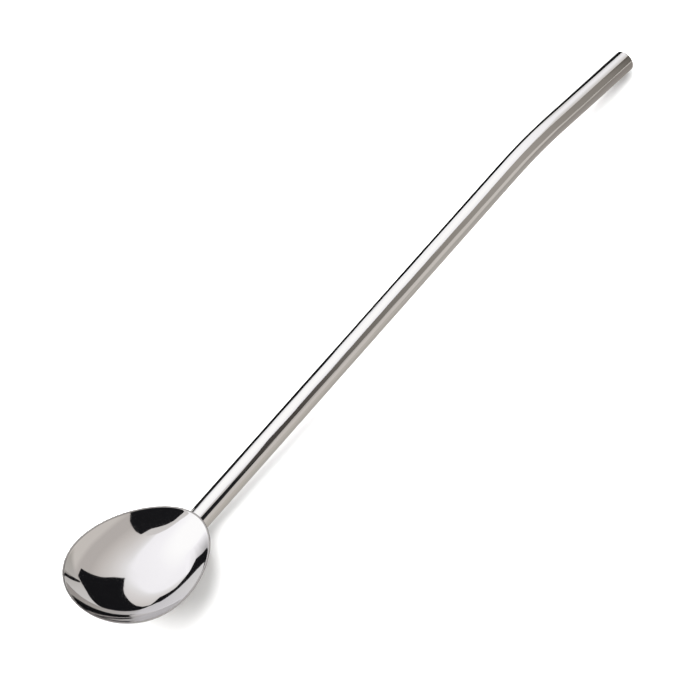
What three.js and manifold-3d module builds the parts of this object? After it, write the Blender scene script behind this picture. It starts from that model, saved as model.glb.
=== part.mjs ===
// Spoon straw: a stamped steel spoon bowl on the end of a bent drinking tube.
// A perforated strainer cap behind the bowl closes the chamber that the tube drinks from.
// Millimetres, +Z up. The straw lies on a table, z = 0, with +X running from the bowl to the mouth.
// The origin is the centre of the strainer cap's flat face, which carries the head on the table.
// The bowl and the tube are drawn in the bowl's own frame and tilted together into that rest:
// there x runs from the bowl's tip to its heel, and the rim lies in the plane z = 0.

import * as THREE from 'three';
import { mergeVertices } from 'three/addons/utils/BufferGeometryUtils.js';
import Module from 'manifold-3d';

// Spoon bowl, stamped from sheet
const bowlLength = 44;
const bowlWidth = 30;
const bowlDepth = 5.4;
const bowlSheet = 0.8;
const bowlEgg = 0.16; // how much wider the bowl is towards its tip
const bowlFullness = 2.65; // power of the hollow's section: 2 is a parabola, more is fuller

// Straw tube
const tubeDiameter = 6;
const tubeWall = 0.5;
const tubeRise = 22; // degrees from the rim's plane to the straight of the tube
const straightLength = 127; // from the bowl's heel to the bend
const bendRadius = 80;
const bendAngle = 15; // degrees, back down towards the rim's plane
const mouthLength = 33; // from the bend to the mouth end
const heelDrop = 0.5; // the top of the tube lies this far below the rim at the heel
const intakeReach = 6.5; // how far the tube runs in behind the heel

// Strainer cap, pressed from thinner sheet
const capLength = 28.5;
const capWidth = 19;
const capSheet = 0.6;
const capEgg = 0.12;
const capShoulder = 5.5; // how far in from its edge the cap's flat face starts
const capHeight = 8.5; // height over which the cap's shoulder rounds up to its edge
const capSetback = 1.25; // from the heel back to the cap's near end
const holeDiameter = 1.1;
const holePitch = 2.1;
const holeMargin = 2.2; // from the cap's edge in to the nearest hole
const holeKeepOut = 1.5; // holes stop this far short of the tube's intake

// Brazing
const seamBead = 1.1; // width of the bead between cap and bowl
const filletLeg = 1.2; // leg of the fillet round the tube
const rimOverhang = 0.6; // the bowl's rim stands out at least this far past anything under it
const jointGap = 0.3; // clear space left between neighbouring solids
const intakePlay = 0.1; // more room than that under the tube's intake end

// Facets
const bowlSides = 72;
const bowlRings = 9;
const capSides = 48;
const shoulderRings = 6;
const holeSides = 8;
const tubeSteps = 54;
const tubeSegments = 12;

const wasm = await Module();
wasm.setup();

const radians = THREE.MathUtils.degToRad;
const tubeRadius = tubeDiameter / 2;
const boreRadius = tubeRadius - tubeWall;
const rise = radians(tubeRise);
const bend = radians(bendAngle);
const axisDrop = tubeRadius / Math.cos(rise) + heelDrop;

// The egg that the rim and the cap follow, grown outwards by offset. Turn 0 is the tip.
function eggPoint(length, width, egg, turn, offset) {
  const x = -(length / 2 + offset) * Math.cos(turn);
  const y = -(width / 2 + offset) * Math.sin(turn) * (1 + egg * Math.cos(turn));
  return new THREE.Vector2(x, y);
}

function eggOutline(length, width, egg, sides, offset) {
  return Array.from({ length: sides }, (_, i) =>
    eggPoint(length, width, egg, (i / sides) * 2 * Math.PI, offset));
}

// A closed body skinned over a stack of rings, with a pole point at each end.
// The rings run counter-clockwise seen from above, and outwards from the lower pole.
function ringBody(firstPole, rings, lastPole) {
  const sides = rings[0].length;
  const points = [firstPole, ...rings.flat(), lastPole];
  const last = points.length - 1;
  const index = [];
  for (let i = 0; i < sides; i += 1) {
    const j = (i + 1) % sides;
    index.push(0, 1 + j, 1 + i);
    for (let ring = 0; ring < rings.length - 1; ring += 1) {
      const low = 1 + ring * sides;
      const high = low + sides;
      index.push(low + i, low + j, high + j);
      index.push(low + i, high + j, high + i);
    }
    const top = last - sides;
    index.push(top + i, top + j, last);
  }
  const geometry = new THREE.BufferGeometry().setFromPoints(points);
  geometry.setIndex(index);
  return geometry;
}

// Booleans on closed geometries
function toSolid(geometry) {
  const plain = geometry.clone();
  plain.deleteAttribute('normal');
  plain.deleteAttribute('uv');
  const merged = mergeVertices(plain, 1e-4);
  return new wasm.Manifold(new wasm.Mesh({
    numProp: 3,
    vertProperties: new Float32Array(merged.attributes.position.array),
    triVerts: new Uint32Array(merged.index.array),
  }));
}

function toGeometry(solid) {
  const mesh = solid.getMesh();
  const geometry = new THREE.BufferGeometry();
  geometry.setAttribute('position', new THREE.BufferAttribute(mesh.vertProperties, 3));
  geometry.setIndex(new THREE.BufferAttribute(mesh.triVerts, 1));
  return geometry;
}

// The hollow's section: 1 at the bottom of the bowl, 0 at the rim
const hollow = (share) => 1 - share ** bowlFullness;

// Rings of a bowl surface in the bowl's frame, from near the bottom out to the rim
function bowlRingsAt(offset, depth) {
  const rim = eggOutline(bowlLength, bowlWidth, bowlEgg, bowlSides, offset);
  return Array.from({ length: bowlRings }, (_, i) => {
    const share = (i + 1) / bowlRings;
    return rim.map((p) => new THREE.Vector3(
      bowlLength / 2 + p.x * share, p.y * share, -depth * hollow(share)));
  });
}

function bowlBottom(depth) {
  return new THREE.Vector3(bowlLength / 2, 0, -depth);
}

function bowlGeometry() {
  const outerDepth = bowlDepth + bowlSheet;
  const outer = bowlRingsAt(0, outerDepth);
  const inner = bowlRingsAt(-bowlSheet, bowlDepth).reverse();
  return ringBody(bowlBottom(outerDepth), [...outer, ...inner], bowlBottom(bowlDepth));
}

// Everything above the back of the bowl, grown by offset, as a tool for fitting parts under it
function bowlBlank(offset) {
  const depth = bowlDepth + bowlSheet + offset;
  const rings = bowlRingsAt(offset, depth);
  const lift = new THREE.Vector3(0, 0, bowlLength);
  const lid = rings[rings.length - 1].map((p) => p.clone().add(lift));
  return ringBody(bowlBottom(depth), [...rings, lid], bowlBottom(0).add(lift));
}

// The tube's axis in the bowl's frame, by length from its intake end: straight, bend, straight
class StrawPath extends THREE.Curve {
  constructor() {
    super();
    this.straight = intakeReach + straightLength;
    this.arc = bendRadius * bend;
    this.total = this.straight + this.arc + mouthLength;
    this.start = new THREE.Vector3(bowlLength, 0, -axisDrop)
      .addScaledVector(StrawPath.heading(rise), -intakeReach);
  }

  static heading(angle) {
    return new THREE.Vector3(Math.cos(angle), 0, Math.sin(angle));
  }

  getPoint(t, target = new THREE.Vector3()) {
    const along = t * this.total;
    const turned = THREE.MathUtils.clamp((along - this.straight) / bendRadius, 0, bend);
    const after = Math.max(0, along - this.straight - this.arc);
    target.copy(this.start).addScaledVector(StrawPath.heading(rise), Math.min(along, this.straight));
    target.x += bendRadius * (Math.sin(rise) - Math.sin(rise - turned));
    target.z += bendRadius * (Math.cos(rise - turned) - Math.cos(rise));
    return target.addScaledVector(StrawPath.heading(rise - bend), after);
  }
}

const path = new StrawPath();

// The tube, coped where it runs in under the back of the bowl
function tubeGeometry() {
  const section = new THREE.Shape().absarc(0, 0, tubeRadius, 0, 2 * Math.PI, false);
  section.holes.push(new THREE.Path().absarc(0, 0, boreRadius, 0, 2 * Math.PI, true));
  const tube = new THREE.ExtrudeGeometry(section, {
    steps: tubeSteps, curveSegments: tubeSegments, extrudePath: path });
  return toGeometry(toSolid(tube).subtract(toSolid(bowlBlank(jointGap))));
}

// A solid of revolution about the tube's straight, from start to end along it from the intake
function alongTube(geometry, start) {
  geometry.rotateZ(-Math.PI / 2);
  geometry.rotateY(-rise);
  const place = path.start.clone().addScaledVector(StrawPath.heading(rise), start);
  return geometry.translate(place.x, place.y, place.z);
}

function tubeCutter(radius) {
  const length = intakeReach * 3;
  const rod = new THREE.CylinderGeometry(radius, radius, length, tubeSegments * 2);
  return alongTube(rod, length / 2 - intakeReach / 2);
}

// How far the whole spoon tips for the cap's flat face and the mouth end to share one plane
function restTilt() {
  const below = (angle) => new THREE.Vector3(Math.sin(angle), 0, -Math.cos(angle));
  const intakeLow = path.start.clone().addScaledVector(below(rise), tubeRadius);
  const mouthLow = path.getPoint(1).addScaledVector(below(rise - bend), tubeRadius);
  const span = mouthLow.clone().sub(intakeLow);
  const lift = capSheet + jointGap + intakePlay;
  const tilt = Math.atan2(span.z, span.x) + Math.asin(lift / span.length());
  return { tilt, mouthLow };
}

const { tilt, mouthLow } = restTilt();

// The group that carries the bowl and tube, tipped so that the straw lies on the table
const spoon = new THREE.Group();
spoon.rotation.y = tilt;
const tipping = new THREE.Matrix4().makeRotationY(tilt);
const heel = new THREE.Vector3(bowlLength, 0, 0).applyMatrix4(tipping);
const heelX = capLength / 2 + capSetback;
spoon.position.set(heelX - heel.x, 0, -mouthLow.applyMatrix4(tipping).z);
spoon.updateMatrixWorld();

const intakeX = path.start.clone().applyMatrix4(spoon.matrixWorld).x;

const toTable = (geometry) => toSolid(geometry.clone().applyMatrix4(spoon.matrixWorld));

// The strainer cap's body without the bowl: a flat face, a round shoulder and an upright wall
function capBody(offset) {
  const top = bowlLength / 2;
  const rings = [];
  for (let i = 0; i <= shoulderRings; i += 1) {
    const angle = (i / shoulderRings) * (Math.PI / 2);
    const inset = offset - (capShoulder + offset) * (1 - Math.sin(angle));
    const height = (capHeight + offset) * (1 - Math.cos(angle)) - offset;
    rings.push(capRing(inset, height));
  }
  rings.push(capRing(offset, top));
  return ringBody(new THREE.Vector3(0, 0, -offset), rings, new THREE.Vector3(0, 0, top));
}

function capRing(offset, height) {
  return eggOutline(capLength, capWidth, capEgg, capSides, offset)
    .map((p) => new THREE.Vector3(p.x, p.y, height));
}

// Strainer holes in staggered rows over the flat face and its shoulder, with metal at the centre
function strainerHoles() {
  const rowPitch = holePitch * Math.sin(Math.PI / 3);
  const holes = [];
  const reach = Math.ceil(capLength / holePitch);
  for (let row = -reach; row <= reach; row += 1) {
    const y = row * rowPitch;
    const shift = row % 2 === 0 ? 0.5 : 0;
    for (let column = -reach; column <= reach; column += 1) {
      const x = (column + shift) * holePitch;
      if (takesHole(x, y)) holes.push(strainerHole(x, y));
    }
  }
  return holes;
}

function takesHole(x, y) {
  const inset = holeMargin + holeDiameter / 2;
  const halfLength = capLength / 2 - inset;
  if (Math.abs(x) >= halfLength || x > intakeX - holeKeepOut) return false;
  const turnAt = Math.acos(-x / halfLength);
  return Math.abs(y) < Math.abs(eggPoint(capLength, capWidth, capEgg, turnAt, -inset).y);
}

function strainerHole(x, y) {
  const radius = holeDiameter / 2;
  const drill = new THREE.CylinderGeometry(radius, radius, capHeight, holeSides);
  drill.rotateX(Math.PI / 2);
  return toSolid(drill.translate(x, y, 0));
}

// The upright column under the bowl that its rim overhangs, down to a floor, as a tool
function bowlShade(floor) {
  const rim = eggOutline(bowlLength, bowlWidth, bowlEgg, bowlSides, -rimOverhang)
    .map((p) => new THREE.Vector3(bowlLength / 2 + p.x, p.y, 0).applyMatrix4(spoon.matrixWorld));
  const low = rim.map((p) => new THREE.Vector3(p.x, p.y, floor));
  const centre = bowlBottom(0).applyMatrix4(spoon.matrixWorld);
  return ringBody(new THREE.Vector3(centre.x, centre.y, floor), [low, rim], centre);
}

function capGeometry() {
  let cap = toSolid(capBody(0))
    .subtract(toSolid(capBody(-capSheet)))
    .subtract(toTable(bowlBlank(jointGap)))
    .subtract(toTable(tubeCutter(tubeRadius + jointGap)))
    .intersect(toSolid(bowlShade(-capHeight)));
  for (const hole of strainerHoles()) cap = cap.subtract(hole);
  return toGeometry(cap);
}

// The brazed seam that runs round the cap's edge, against the back of the bowl
function seamGeometry() {
  const seam = toSolid(capBody(jointGap + seamBead))
    .subtract(toSolid(capBody(jointGap)))
    .intersect(toTable(bowlBlank(jointGap + seamBead)))
    .subtract(toTable(bowlBlank(jointGap)))
    .subtract(toTable(tubeCutter(tubeRadius + jointGap * 2 + filletLeg)))
    .intersect(toSolid(bowlShade(jointGap)));
  return toGeometry(seam);
}

// The brazed fillet round the tube where it leaves the cap, under the heel
function filletGeometry() {
  const inner = tubeRadius + jointGap;
  const outer = inner + filletLeg;
  const ring = new THREE.LatheGeometry([
    new THREE.Vector2(inner, 0),
    new THREE.Vector2(outer, 0),
    new THREE.Vector2(outer, intakeReach - filletLeg),
    new THREE.Vector2(inner, intakeReach + filletLeg),
    new THREE.Vector2(inner, 0),
  ], tubeSegments * 2);
  const outwards = StrawPath.heading(rise - tilt).multiplyScalar(filletLeg);
  const nose = capBody(jointGap);
  const fillet = toTable(alongTube(ring, 0))
    .intersect(toSolid(nose.clone().translate(outwards.x, outwards.y, outwards.z)))
    .subtract(toSolid(nose))
    .subtract(toTable(bowlBlank(jointGap)))
    .intersect(toSolid(bowlShade(jointGap)));
  return toGeometry(fillet);
}

function steel(color, roughness) {
  return new THREE.MeshStandardMaterial({ color, roughness, metalness: 1 });
}

function addMesh(parent, name, geometry, material) {
  const mesh = new THREE.Mesh(geometry, material);
  mesh.name = name;
  parent.add(mesh);
}

const straw = new THREE.Group();
straw.add(spoon);
addMesh(spoon, 'spoon_bowl', bowlGeometry(), steel(0xdcdad7, 0.05));
addMesh(spoon, 'straw_tube', tubeGeometry(), steel(0xc9c5c0, 0.2));
addMesh(straw, 'strainer_cap', capGeometry(), steel(0xd2cfcb, 0.15));
addMesh(straw, 'cap_braze_seam', seamGeometry(), steel(0xc8c2b4, 0.35));
addMesh(straw, 'tube_braze_fillet', filletGeometry(), steel(0xc8c2b4, 0.35));

export default straw;
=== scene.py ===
# Spoon straw: a stamped spoon bowl on a bent drinking tube, with a strainer cap behind the bowl.
# Sizes are in millimetres and become metres when a piece is finished.

import math

import bmesh
import bpy
from mathutils import Matrix, Quaternion, Vector, noise
from mathutils.bvhtree import BVHTree


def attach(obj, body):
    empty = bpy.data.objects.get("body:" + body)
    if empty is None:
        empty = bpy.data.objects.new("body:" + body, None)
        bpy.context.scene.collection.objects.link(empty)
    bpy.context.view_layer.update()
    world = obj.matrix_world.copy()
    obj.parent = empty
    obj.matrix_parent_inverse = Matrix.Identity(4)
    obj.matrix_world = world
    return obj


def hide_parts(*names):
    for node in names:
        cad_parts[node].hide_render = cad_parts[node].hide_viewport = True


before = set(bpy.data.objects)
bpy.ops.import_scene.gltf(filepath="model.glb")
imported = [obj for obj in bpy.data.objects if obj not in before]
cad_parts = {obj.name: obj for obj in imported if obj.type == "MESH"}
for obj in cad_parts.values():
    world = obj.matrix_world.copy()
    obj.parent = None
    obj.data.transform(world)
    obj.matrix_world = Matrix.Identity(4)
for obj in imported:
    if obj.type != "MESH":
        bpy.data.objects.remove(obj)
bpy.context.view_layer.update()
millimetre = 0.001
level = 1e-3  # millimetres within which points are level with each other
weld = 1e-4  # millimetres within which points are one

# Camera
cameraSetup = {
    "place": (-236.1, -244.9, 699.9),
    "aim": (75.43, -0.29, 8.06),
    "roll": 0.57,  # degrees
    "lens": 161.66,
    "sensor": 36.0,
    "sight": 50,  # metres
}


def makeCamera():
    camera = bpy.data.cameras.new("camera")
    camera.lens = cameraSetup["lens"]
    camera.sensor_width = cameraSetup["sensor"]
    camera.clip_end = cameraSetup["sight"]
    holder = bpy.data.objects.new("camera", camera)
    bpy.context.scene.collection.objects.link(holder)
    place = Vector(cameraSetup["place"]) * millimetre
    aim = Vector(cameraSetup["aim"]) * millimetre
    turn = (aim - place).to_track_quat("-Z", "Y")
    turn = turn @ Quaternion((0, 0, 1), math.radians(cameraSetup["roll"]))
    holder.matrix_world = Matrix.Translation(place) @ turn.to_matrix().to_4x4()
    bpy.context.scene.camera = holder


makeCamera()
bpy.context.scene.view_settings.view_transform = "Standard"
print("camera placed")


# Node and colour helpers
def linear(hexColour):
    channels = [int(hexColour[i:i + 2], 16) / 255 for i in (1, 3, 5)]
    return [c / 12.92 if c <= 0.04045 else ((c + 0.055) / 1.055) ** 2.4
            for c in channels] + [1.0]


def addNode(tree, kind, inputs=None, **settings):
    node = tree.nodes.new(kind)
    for key, value in settings.items():
        setattr(node, key, value)
    for name, value in (inputs or {}).items():
        if isinstance(value, bpy.types.NodeSocket):
            tree.links.new(value, node.inputs[name])
        else:
            node.inputs[name].default_value = value
    return node


def startMaterial(name):
    material = bpy.data.materials.new(name)
    material.use_nodes = True
    tree = material.node_tree
    tree.nodes.clear()
    return material, tree


def perMillimetre(counts):
    return tuple(count / millimetre for count in counts)


# Mesh helpers. An edge ring is a list of bmesh edges, and each ring grows out of the last one.
# Every vertex remembers its turn round the ring as a point of the unit circle.
def vertsOf(edges):
    return list(dict.fromkeys(v for e in edges for v in e.verts))


def edgesOf(verts):
    return list(dict.fromkeys(e for v in verts for e in v.link_edges))


def unitRing(bm, sides):
    turn = bm.verts.layers.float_vector.new("turn")
    verts = bmesh.ops.create_circle(bm, cap_ends=False, radius=1, segments=sides)["verts"]
    for v in verts:
        v[turn] = v.co
    return edgesOf(verts)


def layRing(bm, edges, shape, offset, height):
    turn = bm.verts.layers.float_vector["turn"]
    for v in vertsOf(edges):
        x, y = v[turn].x, v[turn].y
        v.co.x = (shape["length"] / 2 + offset) * x
        v.co.y = (shape["width"] / 2 + offset) * y * (1 - shape["egg"] * x)
        v.co.z = height(v.co.x, v.co.y) if callable(height) else height


def eggRing(bm, shape, offset, height, sides):
    edges = unitRing(bm, sides)
    layRing(bm, edges, shape, offset, height)
    return edges


def nextRing(bm, edges):
    grown = bmesh.ops.extrude_edge_only(bm, edges=edges)["geom"]
    return [g for g in grown if isinstance(g, bmesh.types.BMEdge)]


def closePole(bm, edges, height=None):
    face = bmesh.ops.holes_fill(bm, edges=edges, sides=0)["faces"]
    pole = bmesh.ops.poke(bm, faces=face)["verts"][0]
    if height is not None:
        pole.co.z = height


def toMesh(bm, name, place=None):
    bmesh.ops.recalc_face_normals(bm, faces=bm.faces)
    turn = bm.verts.layers.float_vector.get("turn")
    if turn is not None:
        bm.verts.layers.float_vector.remove(turn)
    if place is not None:
        bm.transform(place)
    bm.transform(Matrix.Scale(millimetre, 4))
    mesh = bpy.data.meshes.new(name)
    bm.to_mesh(mesh)
    bm.free()
    mesh.shade_smooth()
    piece = bpy.data.objects.new(name, mesh)
    bpy.context.scene.collection.objects.link(piece)
    return piece


def fit(piece, tool, operation="DIFFERENCE"):
    # Cuts or trims a piece with another mesh, and keeps the result as its own mesh
    step = piece.modifiers.new("fit", "BOOLEAN")
    step.object = tool
    step.operation = operation
    step.solver = "EXACT"
    bpy.context.view_layer.update()
    depsgraph = bpy.context.evaluated_depsgraph_get()
    mesh = bpy.data.meshes.new_from_object(piece.evaluated_get(depsgraph))
    piece.modifiers.clear()
    piece.data = mesh


def dress(piece, material, node):
    piece.data.materials.clear()
    piece.data.materials.append(material)
    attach(piece, "root")
    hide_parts(node)


# Spoon bowl, stamped from sheet
bowl = {
    "length": 44.0,
    "width": 30.0,
    "depth": 5.4,
    "sheet": 0.8,
    "egg": 0.16,
    "fullness": 2.65,
    "sides": 192,
    "rings": 64,
    "edge": 0.5,  # width of the rim, which buffing has thinned
    "hollow": 5.7,  # depth of the inside, where drawing has thinned the sheet
    "lip": 0.14,
    "lipSteps": 4,
    "lipRing": 0.982,  # share of the rim where a ring keeps the lip's rounding to itself
    "firstRing": 0.955,  # share of the rim where the even rings start
    "wave": 5.0,  # length of the slight unevenness that buffing leaves
    "waveHeight": 0.012,
    "seat": 0.15,  # how far what is brazed to the back runs into it
}

# Straw tube
tube = {
    "radius": 3.0,
    "wall": 0.5,
    "rise": math.radians(22),  # over the bowl's rim
    "straight": 127.0,
    "bendRadius": 80.0,
    "bend": math.radians(15),
    "mouth": 33.0,
    "heelDrop": 0.5,  # how far the tube passes under the heel of the bowl
    "intake": 6.5,  # length that lies under the bowl
    "sides": 72,
    "straightSteps": 40,
    "bendSteps": 30,
    "mouthSteps": 10,
    "endRound": 0.1,
    "endSteps": 3,
    "endRing": 0.3,  # where a ring keeps the end's rounding to itself
}

# Strainer cap, pressed from thinner sheet
cap = {
    "length": 28.5,
    "width": 19.0,
    "sheet": 0.6,
    "egg": 0.12,
    "shoulder": 5.5,
    "height": 8.5,
    "uncut": 22.0,  # height of the wall before it is cut to the bowl
    "setback": 1.25,  # how far the heel of the bowl stands out past it
    "underTube": 0.4,  # clear space between the flat face and the tube's lower end
    "hole": 1.1,
    "pitch": 2.1,
    "margin": 2.2,
    "keepOut": 1.5,  # between the holes and the tube's lower end
    "rod": 19.5,  # length of the bar that cuts the tube's hole
    "sides": 144,
    "shoulderSteps": 20,
    "holeSides": 20,
}


def heading(angle):
    return Vector((math.cos(angle), 0, math.sin(angle)))


def below(angle):
    return Vector((math.sin(angle), 0, -math.cos(angle)))


# The tube's axis in the bowl's own frame, where the rim is level and x runs from tip to heel
underHeel = tube["radius"] / math.cos(tube["rise"]) + tube["heelDrop"]
axisStart = Vector((bowl["length"], 0, -underHeel))
axisStart -= heading(tube["rise"]) * tube["intake"]
straightEnd = axisStart + heading(tube["rise"]) * (tube["intake"] + tube["straight"])
bendCentre = straightEnd + below(tube["rise"]) * tube["bendRadius"]
mouthAngle = tube["rise"] - tube["bend"]
axisEnd = bendCentre - below(mouthAngle) * tube["bendRadius"] + heading(mouthAngle) * tube["mouth"]

# The rest on the table: the mouth end and the cap's flat face share the plane z = 0
intakeLow = axisStart + below(tube["rise"]) * tube["radius"]
mouthLow = axisEnd + below(mouthAngle) * tube["radius"]
span = mouthLow - intakeLow
underIntake = cap["sheet"] + cap["underTube"]
tilt = math.atan2(span.z, span.x) + math.asin(underIntake / span.length)
tipping = Matrix.Rotation(tilt, 4, "Y")
heelX = (tipping @ Vector((bowl["length"], 0, 0))).x
onTable = Vector((cap["length"] / 2 + cap["setback"] - heelX, 0, -(tipping @ mouthLow).z))
rest = Matrix.Translation(onTable) @ tipping
intakeX = (rest @ axisStart).x
print("rest worked out, tilt", round(math.degrees(tilt), 3))


def hollow(share):
    return 1 - share ** bowl["fullness"]


def dish(bm, edges, depth):
    # Rings from the rim down to the bottom of the bowl
    shares = [bowl["lipRing"]]
    shares += [bowl["firstRing"] * (1 - i / bowl["rings"]) for i in range(bowl["rings"])]
    last = 1.0
    for share in shares:
        edges = nextRing(bm, edges)
        verts = vertsOf(edges)
        bmesh.ops.scale(bm, verts=verts, vec=(share / last, share / last, 1))
        bmesh.ops.translate(bm, verts=verts, vec=(0, 0, depth * (hollow(last) - hollow(share))))
        last = share
    closePole(bm, edges, -depth)


def bowlPlace():
    return rest @ Matrix.Translation((bowl["length"] / 2, 0, 0))


def makeBowl():
    bm = bmesh.new()
    outer = eggRing(bm, bowl, 0, 0, bowl["sides"])
    dish(bm, outer, bowl["depth"] + bowl["sheet"])
    inner = nextRing(bm, outer)
    layRing(bm, inner, bowl, -bowl["edge"], 0)
    dish(bm, inner, bowl["hollow"])
    bmesh.ops.bevel(bm, geom=outer + inner, offset=bowl["lip"], offset_type="OFFSET",
                    segments=bowl["lipSteps"], profile=0.5, affect="EDGES", material=-1)
    bmesh.ops.recalc_face_normals(bm, faces=bm.faces)
    bm.normal_update()
    # The rim's own finish ends half way down the lip's rounding inside, and under it outside
    rim = bm.verts.layers.float.new("rim")
    for v in bm.verts:
        lowest = -bowl["lip"] / 2 if v.normal.z > 0 else -bowl["lip"]
        v[rim] = 1 if v.co.z > lowest else 0
        v.co.z += bowl["waveHeight"] * noise.noise(v.co / bowl["wave"])
    return toMesh(bm, "stampedBowl", bowlPlace())


def makeBlank(offset):
    # Everything above the back of the bowl, grown by offset, for fitting parts under it
    bm = bmesh.new()
    edges = eggRing(bm, bowl, offset, 0, bowl["sides"])
    dish(bm, edges, bowl["depth"] + bowl["sheet"] + offset)
    lid = nextRing(bm, edges)
    bmesh.ops.translate(bm, verts=vertsOf(lid), vec=(0, 0, bowl["length"]))
    closePole(bm, lid)
    return toMesh(bm, "blank", bowlPlace())


def acrossTube():
    return Vector((0, 0, 1)).rotation_difference(heading(tube["rise"])).to_matrix().to_4x4()


def sweepRun(bm, edges, way, length, steps):
    for _ in range(steps):
        edges = nextRing(bm, edges)
        bmesh.ops.translate(bm, verts=vertsOf(edges), vec=way * (length / steps))
    return edges


def makeTube():
    # The outside is swept from the intake end to the mouth, then given its wall
    bm = bmesh.new()
    grain = bm.verts.layers.float_vector.new("grain")
    bore = bm.verts.layers.float.new("bore")
    verts = bmesh.ops.create_circle(bm, cap_ends=False, radius=tube["radius"],
                                    segments=tube["sides"])["verts"]
    for v in verts:
        v[grain] = v.co
    start = Matrix.Translation(axisStart) @ acrossTube()
    bmesh.ops.transform(bm, verts=verts, matrix=start)
    edges = sweepRun(bm, edgesOf(verts), heading(tube["rise"]),
                     tube["intake"] + tube["straight"], tube["straightSteps"])
    bent = bmesh.ops.spin(bm, geom=edges + vertsOf(edges), cent=bendCentre, axis=(0, 1, 0),
                          angle=tube["bend"], steps=tube["bendSteps"])["geom_last"]
    edges = [g for g in bent if isinstance(g, bmesh.types.BMEdge)]
    edges = sweepRun(bm, edges, heading(mouthAngle), tube["mouth"] - tube["endRing"],
                     tube["mouthSteps"])
    sweepRun(bm, edges, heading(mouthAngle), tube["endRing"], 1)
    bmesh.ops.recalc_face_normals(bm, faces=bm.faces)
    outside = set(bm.verts)
    bmesh.ops.solidify(bm, geom=bm.faces[:], thickness=tube["wall"])
    for v in bm.verts:
        v[bore] = 0 if v in outside else 1
    face = axisEnd.dot(heading(mouthAngle)) - level
    ends = [e for e in bm.edges
            if all(v.co.dot(heading(mouthAngle)) > face for v in e.verts)
            and abs((e.verts[0].co - axisEnd).length - (e.verts[1].co - axisEnd).length) < level]
    bmesh.ops.bevel(bm, geom=ends, offset=tube["endRound"], offset_type="OFFSET",
                    segments=tube["endSteps"], profile=0.5, affect="EDGES", material=-1)
    for v in bm.verts:
        v[grain] = (v[grain].x, v[grain].y, v.co.x)
    return toMesh(bm, "drawnTube", rest)


def capProfile(offset):
    # Insets and heights up the cap's outside grown by offset: round shoulder, upright wall
    profile = []
    for i in range(cap["shoulderSteps"] + 1):
        angle = i / cap["shoulderSteps"] * math.pi / 2
        profile.append((offset - (cap["shoulder"] + offset) * (1 - math.sin(angle)),
                        (cap["height"] + offset) * (1 - math.cos(angle)) - offset))
    profile.append((offset, cap["uncut"]))
    return profile


def makeCapBody():
    bm = bmesh.new()
    rings = capProfile(0) + capProfile(-cap["sheet"])[::-1]
    edges = eggRing(bm, cap, *rings[0], cap["sides"])
    bmesh.ops.holes_fill(bm, edges=edges, sides=0)
    for inset, height in rings[1:]:
        edges = nextRing(bm, edges)
        layRing(bm, edges, cap, inset, height)
    bmesh.ops.holes_fill(bm, edges=edges, sides=0)
    return toMesh(bm, "pressedCap")


def makeRod(radius):
    # A round bar along the tube's straight, through the cap
    bm = bmesh.new()
    middle = axisStart + heading(tube["rise"]) * ((cap["rod"] - tube["intake"]) / 2)
    bmesh.ops.create_cone(bm, cap_ends=True, radius1=radius, radius2=radius, depth=cap["rod"],
                          segments=tube["sides"],
                          matrix=Matrix.Translation(middle) @ acrossTube())
    return toMesh(bm, "rod", rest)


def makeShade(overhang):
    # The column under the bowl that its rim overhangs, seen from straight above
    bm = bmesh.new()
    edges = eggRing(bm, bowl, -overhang, 0, bowl["sides"])
    bm.transform(bowlPlace())
    closePole(bm, edges)
    column = nextRing(bm, edges)
    for v in vertsOf(column):
        v.co.z = -cap["height"]
    closePole(bm, column)
    return toMesh(bm, "shade")


def takesHole(x, y):
    inset = cap["margin"] + cap["hole"] / 2
    half = cap["length"] / 2 - inset
    if abs(x) >= half or x > intakeX - cap["keepOut"]:
        return False
    across = math.sqrt(1 - (x / half) ** 2)
    return abs(y) < (cap["width"] / 2 - inset) * across * (1 - cap["egg"] * x / half)


def makeDrills():
    bm = bmesh.new()
    radius = cap["hole"] / 2
    rowPitch = cap["pitch"] * math.sin(math.pi / 3)
    reach = math.ceil(cap["length"] / cap["pitch"])
    for row in range(-reach, reach + 1):
        shift = 0.5 if row % 2 == 0 else 0
        for column in range(-reach, reach + 1):
            x, y = (column + shift) * cap["pitch"], row * rowPitch
            if takesHole(x, y):
                bmesh.ops.create_cone(bm, cap_ends=True, radius1=radius, radius2=radius,
                                      depth=cap["height"], segments=cap["holeSides"],
                                      matrix=Matrix.Translation((x, y, 0)))
    return toMesh(bm, "drills")


# Brazing
braze = {
    "bead": 1.2,
    "fillet": 1.2,
    "sink": 0.12,  # how far the filler runs into the metal that it joins
    "steps": 8,
    "overhang": 0.6,  # how far the bowl's rim stands out over the filler at the heel
    "clear": 0.3,  # lowest that the filler comes to the table
    "root": 2.5,  # where the tube leaves the cap, along it from its lower end
    "castFrom": 60.0,  # where the rays that look for the cap start, along the tube
    "sides": 96,
    "crease": math.radians(35),  # edges of the cap and filler that turn more stay crisp
}


def treeOf(piece):
    return BVHTree.FromObject(piece, bpy.context.evaluated_depsgraph_get())


def filletSection(width):
    # Distances of a hollow fillet's rings from the two surfaces that it joins
    sink = braze["sink"]
    section = [(-sink, width)]
    for i in range(braze["steps"] + 1):
        angle = i / braze["steps"] * math.pi / 2
        section.append((width * (1 - math.cos(angle)), width * (1 - math.sin(angle))))
    return section + [(width, -sink), (-sink, -sink), (-sink, width)]


def backHeight(tree, x, y):
    # Height over the table of the back of the bowl, or of the rim's plane beside the bowl
    hit = tree.ray_cast(Vector((x, y, -cap["height"])) * millimetre, Vector((0, 0, 1)))[0]
    if hit is not None:
        return hit.z / millimetre
    heel = rest @ Vector((bowl["length"], 0, 0))
    return heel.z + (heel.x - x) * math.tan(tilt)


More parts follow.
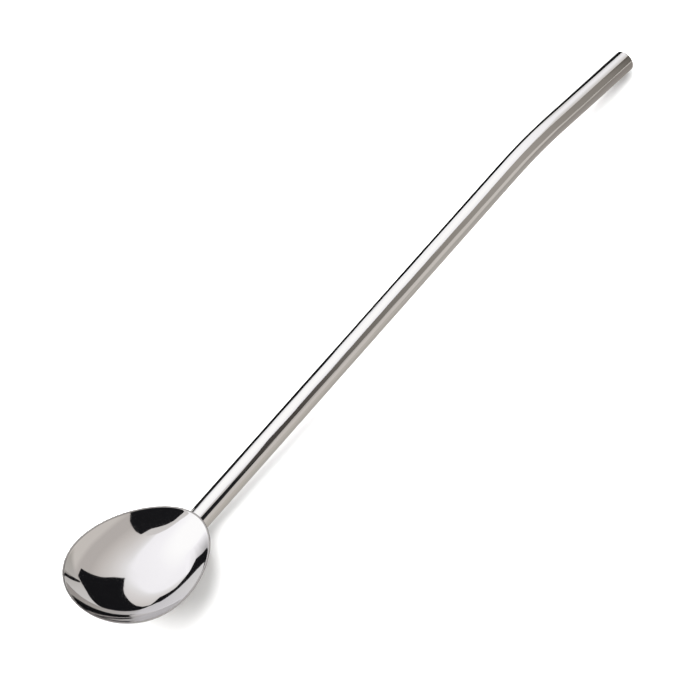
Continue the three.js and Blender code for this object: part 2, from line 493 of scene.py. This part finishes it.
def makeBead(blank):
    # A hollow fillet that runs round the cap's edge, against the back of the bowl
    tree = treeOf(blank)

    def back(drop):
        return lambda x, y: backHeight(tree, x, y) - drop

    bm = bmesh.new()
    section = filletSection(braze["bead"])
    offset, drop = section[0]
    first = edges = eggRing(bm, cap, offset, back(drop), braze["sides"])
    for offset, drop in section[1:]:
        edges = nextRing(bm, edges)
        layRing(bm, edges, cap, offset, back(drop))
    bmesh.ops.remove_doubles(bm, verts=vertsOf(first + edges), dist=weld)
    return toMesh(bm, "capBead")


def makeFillet(body):
    # A hollow fillet round the tube where it leaves the cap, under the heel
    tree = treeOf(body)
    way = heading(tube["rise"] - tilt)
    side = Vector((0, 1, 0))
    up = way.cross(side)
    start = rest @ axisStart
    bm = bmesh.new()

    def lay(edges, radius, out):
        turn = bm.verts.layers.float_vector["turn"]
        for v in vertsOf(edges):
            spot = start + side * (radius * v[turn].x) + up * (radius * v[turn].y)
            spot += way * braze["root"]
            spot.z = max(spot.z, braze["clear"])
            hit = tree.ray_cast((spot + way * braze["castFrom"]) * millimetre, -way)[0]
            v.co = hit / millimetre + way * out

    section = filletSection(braze["fillet"])
    offset, out = section[0]
    first = edges = unitRing(bm, braze["sides"])
    lay(first, tube["radius"] + offset, out)
    for offset, out in section[1:]:
        edges = nextRing(bm, edges)
        lay(edges, tube["radius"] + offset, out)
    bmesh.ops.remove_doubles(bm, verts=vertsOf(first + edges), dist=weld)
    return toMesh(bm, "tubeFillet")


# Stainless steel, stamped, then buffed on a cloth wheel: a clean mirror with a faint haze of
# hairlines along the bowl, which are drawn about 0.2 mm apart so that they show. The rim is the
# sheet's cut edge, which is duller and darker.
buffing = {
    "colour": "#cccbcb",
    "rimColour": "#9c9a98",
    "hairlines": (0.9, 6.0, 0.9),  # to a millimetre
    "detail": 3.0,
    "shown": (0.35, 0.75),  # part of the noise that shows
    "roughness": (0.025, 0.07),
    "rimDulling": 0.2,
}


def buffedStainless():
    material, tree = startMaterial("buffed stainless steel")
    coord = addNode(tree, "ShaderNodeTexCoord")
    fine = addNode(tree, "ShaderNodeMapping", {
        "Vector": coord.outputs["Object"], "Scale": perMillimetre(buffing["hairlines"])})
    lines = addNode(tree, "ShaderNodeTexNoise", {
        "Vector": fine.outputs[0], "Scale": 1.0, "Detail": buffing["detail"]})
    haze = addNode(tree, "ShaderNodeMapRange", {
        "Value": lines.outputs[0],
        "From Min": buffing["shown"][0], "From Max": buffing["shown"][1],
        "To Min": buffing["roughness"][0], "To Max": buffing["roughness"][1]})
    rim = addNode(tree, "ShaderNodeAttribute", attribute_name="rim")
    grain = addNode(tree, "ShaderNodeMath", {
        0: rim.outputs["Fac"], 1: buffing["rimDulling"], 2: haze.outputs[0]},
        operation="MULTIPLY_ADD")
    tone = addNode(tree, "ShaderNodeMix", {"Factor": rim.outputs["Fac"]}, data_type="RGBA")
    tone.inputs["A"].default_value = linear(buffing["colour"])
    tone.inputs["B"].default_value = linear(buffing["rimColour"])
    shader = addNode(tree, "ShaderNodeBsdfPrincipled", {
        "Base Color": tone.outputs["Result"], "Metallic": 1.0, "Roughness": grain.outputs[0]})
    addNode(tree, "ShaderNodeOutputMaterial", {"Surface": shader.outputs[0]})
    return material


# Stainless steel tube, drawn through a die and polished: bright, with faint lines along it, which
# are drawn about 0.6 mm wide so that they show. The bore is left as drawn, which is dull.
drawing = {
    "colour": "#cbcac9",
    "lines": (1.7, 1.7, 0.03),  # to a millimetre
    "detail": 3.0,
    "shown": (0.3, 0.7),
    "roughness": (0.03, 0.09),
    "ridge": 0.03,  # height of the lines
    "boreDulling": 0.4,
}


def drawnStainless():
    material, tree = startMaterial("drawn stainless steel tube")
    grain = addNode(tree, "ShaderNodeAttribute", attribute_name="grain")
    fine = addNode(tree, "ShaderNodeMapping", {
        "Vector": grain.outputs["Vector"], "Scale": drawing["lines"]})
    lines = addNode(tree, "ShaderNodeTexNoise", {
        "Vector": fine.outputs[0], "Scale": 1.0, "Detail": drawing["detail"]})
    haze = addNode(tree, "ShaderNodeMapRange", {
        "Value": lines.outputs[0],
        "From Min": drawing["shown"][0], "From Max": drawing["shown"][1],
        "To Min": drawing["roughness"][0], "To Max": drawing["roughness"][1]})
    ridges = addNode(tree, "ShaderNodeBump", {
        "Height": lines.outputs[0], "Strength": 1.0, "Distance": drawing["ridge"] * millimetre})
    inside = addNode(tree, "ShaderNodeAttribute", attribute_name="bore")
    dull = addNode(tree, "ShaderNodeMath", {
        0: inside.outputs["Fac"], 1: drawing["boreDulling"], 2: haze.outputs[0]},
        operation="MULTIPLY_ADD")
    shader = addNode(tree, "ShaderNodeBsdfPrincipled", {
        "Base Color": linear(drawing["colour"]), "Metallic": 1.0, "Roughness": dull.outputs[0],
        "Normal": ridges.outputs[0]})
    addNode(tree, "ShaderNodeOutputMaterial", {"Surface": shader.outputs[0]})
    return material


# Stainless sheet, pressed and punched, then rubbed with a fine pad: satin all over, and a little
# duller on the flat face that is punched
punching = {
    "colour": "#cbc9c5",
    "faceRoughness": 0.2,
    "wallRoughness": 0.15,
    "fade": 4.0,  # height over which the face's finish becomes the wall's
    "scratches": (0.2, 2.5, 2.5),  # to a millimetre
    "detail": 3.0,
    "scratchDulling": 0.06,
}


def punchedStainless():
    material, tree = startMaterial("punched stainless sheet")
    coord = addNode(tree, "ShaderNodeTexCoord")
    place = addNode(tree, "ShaderNodeSeparateXYZ", {"Vector": coord.outputs["Object"]})
    satin = addNode(tree, "ShaderNodeMapRange", {
        "Value": place.outputs["Z"],
        "From Min": 0.0, "From Max": punching["fade"] * millimetre,
        "To Min": punching["faceRoughness"], "To Max": punching["wallRoughness"]})
    fine = addNode(tree, "ShaderNodeMapping", {
        "Vector": coord.outputs["Object"], "Scale": perMillimetre(punching["scratches"])})
    lines = addNode(tree, "ShaderNodeTexNoise", {
        "Vector": fine.outputs[0], "Scale": 1.0, "Detail": punching["detail"]})
    haze = addNode(tree, "ShaderNodeMath", {
        0: lines.outputs[0], 1: punching["scratchDulling"], 2: satin.outputs[0]},
        operation="MULTIPLY_ADD")
    shader = addNode(tree, "ShaderNodeBsdfPrincipled", {
        "Base Color": linear(punching["colour"]), "Metallic": 1.0, "Roughness": haze.outputs[0]})
    addNode(tree, "ShaderNodeOutputMaterial", {"Surface": shader.outputs[0]})
    return material


# Silver braze, melted in and polished over: slightly warm and softer than the steel
filler = {
    "colour": "#c9c5bd",
    "ripples": 1.2,  # to a millimetre
    "detail": 3.0,
    "shown": (0.3, 0.7),
    "roughness": (0.16, 0.32),
    "rippleHeight": 0.02,
    "rippleStrength": 0.25,
}


def silverBraze():
    material, tree = startMaterial("silver braze")
    coord = addNode(tree, "ShaderNodeTexCoord")
    ripple = addNode(tree, "ShaderNodeTexNoise", {
        "Vector": coord.outputs["Object"], "Scale": filler["ripples"] / millimetre,
        "Detail": filler["detail"]})
    haze = addNode(tree, "ShaderNodeMapRange", {
        "Value": ripple.outputs[0],
        "From Min": filler["shown"][0], "From Max": filler["shown"][1],
        "To Min": filler["roughness"][0], "To Max": filler["roughness"][1]})
    bump = addNode(tree, "ShaderNodeBump", {
        "Height": ripple.outputs[0], "Strength": filler["rippleStrength"],
        "Distance": filler["rippleHeight"] * millimetre})
    shader = addNode(tree, "ShaderNodeBsdfPrincipled", {
        "Base Color": linear(filler["colour"]), "Metallic": 1.0, "Roughness": haze.outputs[0],
        "Normal": bump.outputs[0]})
    addNode(tree, "ShaderNodeOutputMaterial", {"Surface": shader.outputs[0]})
    return material


spoonBowl = makeBowl()
dress(spoonBowl, buffedStainless(), "spoon_bowl")
print("bowl made")

blank = makeBlank(-bowl["seat"])
strawTube = makeTube()
fit(strawTube, blank)
dress(strawTube, drawnStainless(), "straw_tube")
print("tube made")

capPiece = makeCapBody()
bead = makeBead(blank)
fillet = makeFillet(capPiece)
shade = makeShade(braze["overhang"])
rod = makeRod(tube["radius"] - braze["sink"])
drills = makeDrills()
for tool in (blank, rod, drills):
    fit(capPiece, tool)
for joint in (bead, fillet):
    fit(joint, shade, "INTERSECT")
    fit(joint, blank)
fit(capPiece, shade, "INTERSECT")
fit(bead, rod)
for piece in (capPiece, bead, fillet):
    piece.data.set_sharp_from_angle(angle=braze["crease"])
for tool in (blank, rod, drills, shade):
    bpy.data.objects.remove(tool)
dress(capPiece, punchedStainless(), "strainer_cap")
dress(bead, silverBraze(), "cap_braze_seam")
dress(fillet, silverBraze(), "tube_braze_fillet")
print("cap and brazing made")


# Studio, in metres and degrees
studio = {
    "floor": 1.2,
    "floorSides": 64,
    "paper": "#f4f4f4",
    "centre": (0, 0, 0.014),  # what the far cards stand round
    "tentAzimuth": 85,
    "tentElevation": 55,
    "tentStrength": 1.62,
    "horizon": (-0.06, 0.02),  # where the table ends and the tent starts
    "white": "#ffffff",
    "backdrop": 1.1,
    "fill": 0.85,
    "flag": "#141416",
}

mainLight = {
    "azimuth": 116,
    "elevation": 52,
    "distance": 1.2,
    "size": 2.0,
    "power": 60.0,
}

# How bright the white tent looks, by the cosine of the angle from its middle
tentTones = ((-1.0, "#c3beb9"), (-0.14, "#c3beb9"), (-0.05, "#b1aca8"), (0.16, "#b1aca8"),
             (0.3, "#bdb8b4"), (0.45, "#c9c5c2"), (0.57, "#d6d3d2"), (0.62, "#dfdede"),
             (0.655, "#f1f0f3"), (0.8, "#f5f4f7"), (0.95, "#ffffff"))

# How bright the table looks, from the near side to the far side
tableTones = ((-1.0, "#b9b4ae"), (-0.8, "#b2ada7"), (-0.55, "#a39f99"), (-0.2, "#aca9a5"),
              (0.1, "#bfbdbb"), (0.5, "#c8c7c6"))

# Cards that stand far off, each between two chains of azimuths and elevations
farCards = {
    # Black, mirrored along the near side of the bowl
    "blackFlag": {
        "reach": 6.0,
        "one": ((88, 6), (78, 9), (74, 12.5), (68, 6), (60, 3), (50, 5), (46, -2), (41, -1),
                (36, 3), (29, 12), (23.5, 19.5), (21, 24), (20, 27), (19, 30.5),
                (11, 27.5), (3, 22), (-4, 17), (-9, 13), (-16, 7)),
        "other": ((88, -5), (77, -5), (73, -5), (68, -5), (60, -5), (56, -5), (50, -3),
                  (45, -4), (40, -7), (33, -10), (28, -12), (26, -12), (24, -12), (20, -11),
                  (14, -7), (8, -3), (3, -1), (-3, 0), (-8, 0)),
        "tones": studio["flag"],
    },
    # Black, mirrored on the far side of the bowl, by the heel
    "overheadFlag": {
        "reach": 0.8,
        "one": ((-72, 30), (-66, 35), (-60, 41), (-52, 47), (-43, 53), (-53, 59), (-58, 71),
                (-78, 79), (-113, 80), (-145, 78)),
        "other": ((-80, 22), (-84, 26), (-88, 31), (-92, 36), (-97, 42), (-103, 48),
                  (-110, 55), (-120, 62), (-133, 69), (-150, 75)),
        "tones": "#161618",
    },
    # The tent's shaded edge, behind the flag overhead
    "tentEdge": {
        "reach": 6.3,
        "one": ((-36, 58), (-33, 66), (-36, 75), (-60, 84), (-120, 86.5), (175, 83),
                (160, 76)),
        "other": ((-60, 48), (-66, 58), (-76, 68), (-96, 72), (-125, 72), (-150, 72),
                  (175, 70)),
        "tones": "#c9c6c4",
    },
    # The tent's shaded foot, behind the black flag
    "tentFoot": {
        "reach": 6.3,
        "one": ((66, 6), (72, 6), (76, 6), (80, 6), (92, 6), (100, 6)),
        "other": ((66, 31), (72, 31), (76, 31), (80, 31), (92, 31), (100, 31)),
        "tones": (("#f5f4f7", "#f8f7fa"), ("#dddcdd", "#f8f7fa"), ("#b4b2b3", "#f9f8fb"),
                  ("#969495", "#f9f8fb"), ("#9c9a9b", "#f9f8fb"), ("#d0cfd0", "#f9f8fb")),
    },
}

# Cards that stand close, in millimetres. Only metal within their nearness mirrors them.
# A low black board along the far side, mirrored on the tube past its middle
lowBoard = {
    "y": 110,
    "foot": -60,
    "top": ((114, 24), (135, 24), (158, 24), (190, 27), (225, 21), (256, 15.5), (281, 26),
            (301, 38), (330, 50)),  # x and height
    "nearness": 160,
}

# A black strip beside the tube's straight, mirrored as its dark far edge
nearBoard = {
    "run": (7, 128),  # along the tube from its lower end
    "top": (6.3, 16, 1.2),  # from the tube's axis
    "foot": (6.3, 16, -9),
    "nearness": 19,
}

# A brown card over the tube, mirrored as the dark line along it
brownCard = {
    "stations": (
        # x, then y and height of the far edge and of the near edge, tone
        (38, (-20, 41), (-21, 40), "#403d3a"),
        (50, (-8, 48), (-34, 31), "#403d3a"),
        (64, (-8, 49), (-34, 32), "#474340"),
        (87, (-8, 50), (-34, 36), "#6b6762"),
        (129, (-8, 51), (-34, 33), "#8b8680"),
        (158, (-8, 52), (-34, 27), "#9d9892"),
        (197, (-8, 37), (-34, 14), "#8a857f"),
        (212, (-8, 33), (-34, 10), "#837e78"),
        (225, (-8, 30), (-34, 6), "#5a5550"),
        (237, (-8, 27), (-34, 3), "#55504b"),
    ),
    "nearness": 52,
}

# A card with painted shade: the table's tone, darkened towards the mouth end, which the tube
# mirrors in place of the floor
paintedTableShade = {
    "stations": ((110, "#aba7a2"), (150, "#a39f9a"), (175, "#96918c"), (200, "#87827d"),
                 (250, "#87827d")),  # x and tone
    "far": (-0.5, 0.3),  # y and height
    "near": (-80, 0.3),
    "nearness": 100,
}


def makeFloor():
    bm = bmesh.new()
    bmesh.ops.create_circle(bm, cap_ends=True, radius=studio["floor"],
                            segments=studio["floorSides"])
    mesh = bpy.data.meshes.new("floor")
    bm.to_mesh(mesh)
    bm.free()
    floor = bpy.data.objects.new("floor", mesh)
    bpy.context.scene.collection.objects.link(floor)
    material, tree = startMaterial("white paper")
    shader = addNode(tree, "ShaderNodeBsdfDiffuse", {"Color": linear(studio["paper"])})
    addNode(tree, "ShaderNodeOutputMaterial", {"Surface": shader.outputs[0]})
    mesh.materials.append(material)
    floor.visible_glossy = False


def direction(azimuth, elevation):
    a, e = math.radians(azimuth), math.radians(elevation)
    return Vector((math.cos(a) * math.cos(e), math.sin(a) * math.cos(e), math.sin(e)))


def around(corners, reach):
    return [Vector(studio["centre"]) + direction(*corner) * reach for corner in corners]


def inMetres(points):
    return [Vector(point) * millimetre for point in points]


def makeCard(name, one, other, tones, nearness=None):
    # A studio card between two chains of points, with one tone, or a tone for every pair of
    # points, or one for each point of every pair
    bm = bmesh.new()
    layer = bm.verts.layers.float_color.new("tone")
    if isinstance(tones, str):
        tones = [tones] * len(one)
    edges = []
    for i, chain in enumerate((one, other)):
        verts = [bm.verts.new(point) for point in chain]
        for v, tone in zip(verts, tones):
            v[layer] = linear(tone if isinstance(tone, str) else tone[i])
        edges += [bm.edges.new(pair) for pair in zip(verts, verts[1:])]
    bmesh.ops.bridge_loops(bm, edges=edges)
    mesh = bpy.data.meshes.new(name)
    bm.to_mesh(mesh)
    bm.free()
    card = bpy.data.objects.new(name, mesh)
    bpy.context.scene.collection.objects.link(card)
    material, tree = startMaterial(name)
    tone = addNode(tree, "ShaderNodeAttribute", attribute_name="tone")
    face = addNode(tree, "ShaderNodeEmission", {
        "Color": tone.outputs["Color"], "Strength": studio["tentStrength"]})
    if nearness:
        path = addNode(tree, "ShaderNodeLightPath")
        near = addNode(tree, "ShaderNodeMath", {
            0: path.outputs["Ray Length"], 1: nearness * millimetre}, operation="LESS_THAN")
        away = addNode(tree, "ShaderNodeBsdfTransparent")
        face = addNode(tree, "ShaderNodeMixShader", {
            0: near.outputs[0], 1: away.outputs[0], 2: face.outputs[0]})
    addNode(tree, "ShaderNodeOutputMaterial", {"Surface": face.outputs[0]})
    mesh.materials.append(material)
    card.visible_camera = False
    card.visible_diffuse = False
    card.visible_shadow = False


def layTones(ramp, tones):
    # Tones run from -1 to 1 and a colour ramp from 0 to 1
    stops = ramp.color_ramp.elements
    while len(stops) < len(tones):
        stops.new(0.5)
    for stop, (position, tone) in zip(stops, tones):
        stop.position = position / 2 + 0.5
        stop.color = linear(tone)


def makeWorld():
    # Metal sees a white tent, grey walls and the table; the camera sees a plain backdrop
    world = bpy.data.worlds.new("studio")
    bpy.context.scene.world = world
    world.use_nodes = True
    tree = world.node_tree
    tree.nodes.clear()
    coord = addNode(tree, "ShaderNodeTexCoord")
    way = coord.outputs["Generated"]
    middle = direction(studio["tentAzimuth"], studio["tentElevation"])
    dot = addNode(tree, "ShaderNodeVectorMath", {0: way, 1: middle}, operation="DOT_PRODUCT")
    near = addNode(tree, "ShaderNodeMapRange", {
        "Value": dot.outputs["Value"], "From Min": -1.0})
    tent = addNode(tree, "ShaderNodeValToRGB", {0: near.outputs[0]})
    layTones(tent, tentTones)
    place = addNode(tree, "ShaderNodeSeparateXYZ", {0: way})
    across = addNode(tree, "ShaderNodeMapRange", {
        "Value": place.outputs["Y"], "From Min": -1.0})
    table = addNode(tree, "ShaderNodeValToRGB", {0: across.outputs[0]})
    layTones(table, tableTones)
    rise = addNode(tree, "ShaderNodeMapRange", {
        "Value": place.outputs["Z"],
        "From Min": studio["horizon"][0], "From Max": studio["horizon"][1]})
    room = addNode(tree, "ShaderNodeMix", {
        "Factor": rise.outputs[0], "A": table.outputs[0], "B": tent.outputs[0]},
        data_type="RGBA")
    reflected = addNode(tree, "ShaderNodeBackground", {
        "Color": room.outputs["Result"], "Strength": studio["tentStrength"]})
    plain = addNode(tree, "ShaderNodeBackground", {
        "Color": linear(studio["white"]), "Strength": studio["backdrop"]})
    fill = addNode(tree, "ShaderNodeBackground", {
        "Color": linear(studio["white"]), "Strength": studio["fill"]})
    path = addNode(tree, "ShaderNodeLightPath")
    shiny = addNode(tree, "ShaderNodeMixShader", {
        0: path.outputs["Is Glossy Ray"], 1: fill.outputs[0], 2: reflected.outputs[0]})
    seen = addNode(tree, "ShaderNodeMixShader", {
        0: path.outputs["Is Camera Ray"], 1: shiny.outputs[0], 2: plain.outputs[0]})
    addNode(tree, "ShaderNodeOutputWorld", {"Surface": seen.outputs[0]})


def makeLamp(name, setup):
    lamp = bpy.data.lights.new(name, "AREA")
    lamp.shape = "DISK"
    lamp.size = setup["size"]
    lamp.energy = setup["power"]
    holder = bpy.data.objects.new(name, lamp)
    bpy.context.scene.collection.objects.link(holder)
    way = direction(setup["azimuth"], setup["elevation"])
    turn = (-way).to_track_quat("-Z", "Y").to_matrix().to_4x4()
    holder.matrix_world = Matrix.Translation(way * setup["distance"]) @ turn
    holder.visible_glossy = False
    holder.visible_camera = False


makeFloor()
makeWorld()
makeLamp("mainLight", mainLight)
for name, card in farCards.items():
    makeCard(name, around(card["one"], card["reach"]), around(card["other"], card["reach"]),
             card["tones"])
makeCard("lowBoard",
         inMetres((x, lowBoard["y"], top) for x, top in lowBoard["top"]),
         inMetres((x, lowBoard["y"], lowBoard["foot"]) for x, top in lowBoard["top"]),
         studio["flag"], lowBoard["nearness"])
besideTube = [rest @ (axisStart + heading(tube["rise"]) * along) for along in nearBoard["run"]]
makeCard("nearBoard",
         inMetres(spot + Vector(nearBoard["top"]) for spot in besideTube),
         inMetres(spot + Vector(nearBoard["foot"]) for spot in besideTube),
         studio["flag"], nearBoard["nearness"])
makeCard("brownCard",
         inMetres((x, *far) for x, far, near, tone in brownCard["stations"]),
         inMetres((x, *near) for x, far, near, tone in brownCard["stations"]),
         [tone for x, far, near, tone in brownCard["stations"]], brownCard["nearness"])
# The card of painted table shade by the mouth end, seen only in the tube's reflection
makeCard("paintedTableShade",
         inMetres((x, *paintedTableShade["far"]) for x, tone in paintedTableShade["stations"]),
         inMetres((x, *paintedTableShade["near"]) for x, tone in paintedTableShade["stations"]),
         [tone for x, tone in paintedTableShade["stations"]], paintedTableShade["nearness"])
print("studio made")
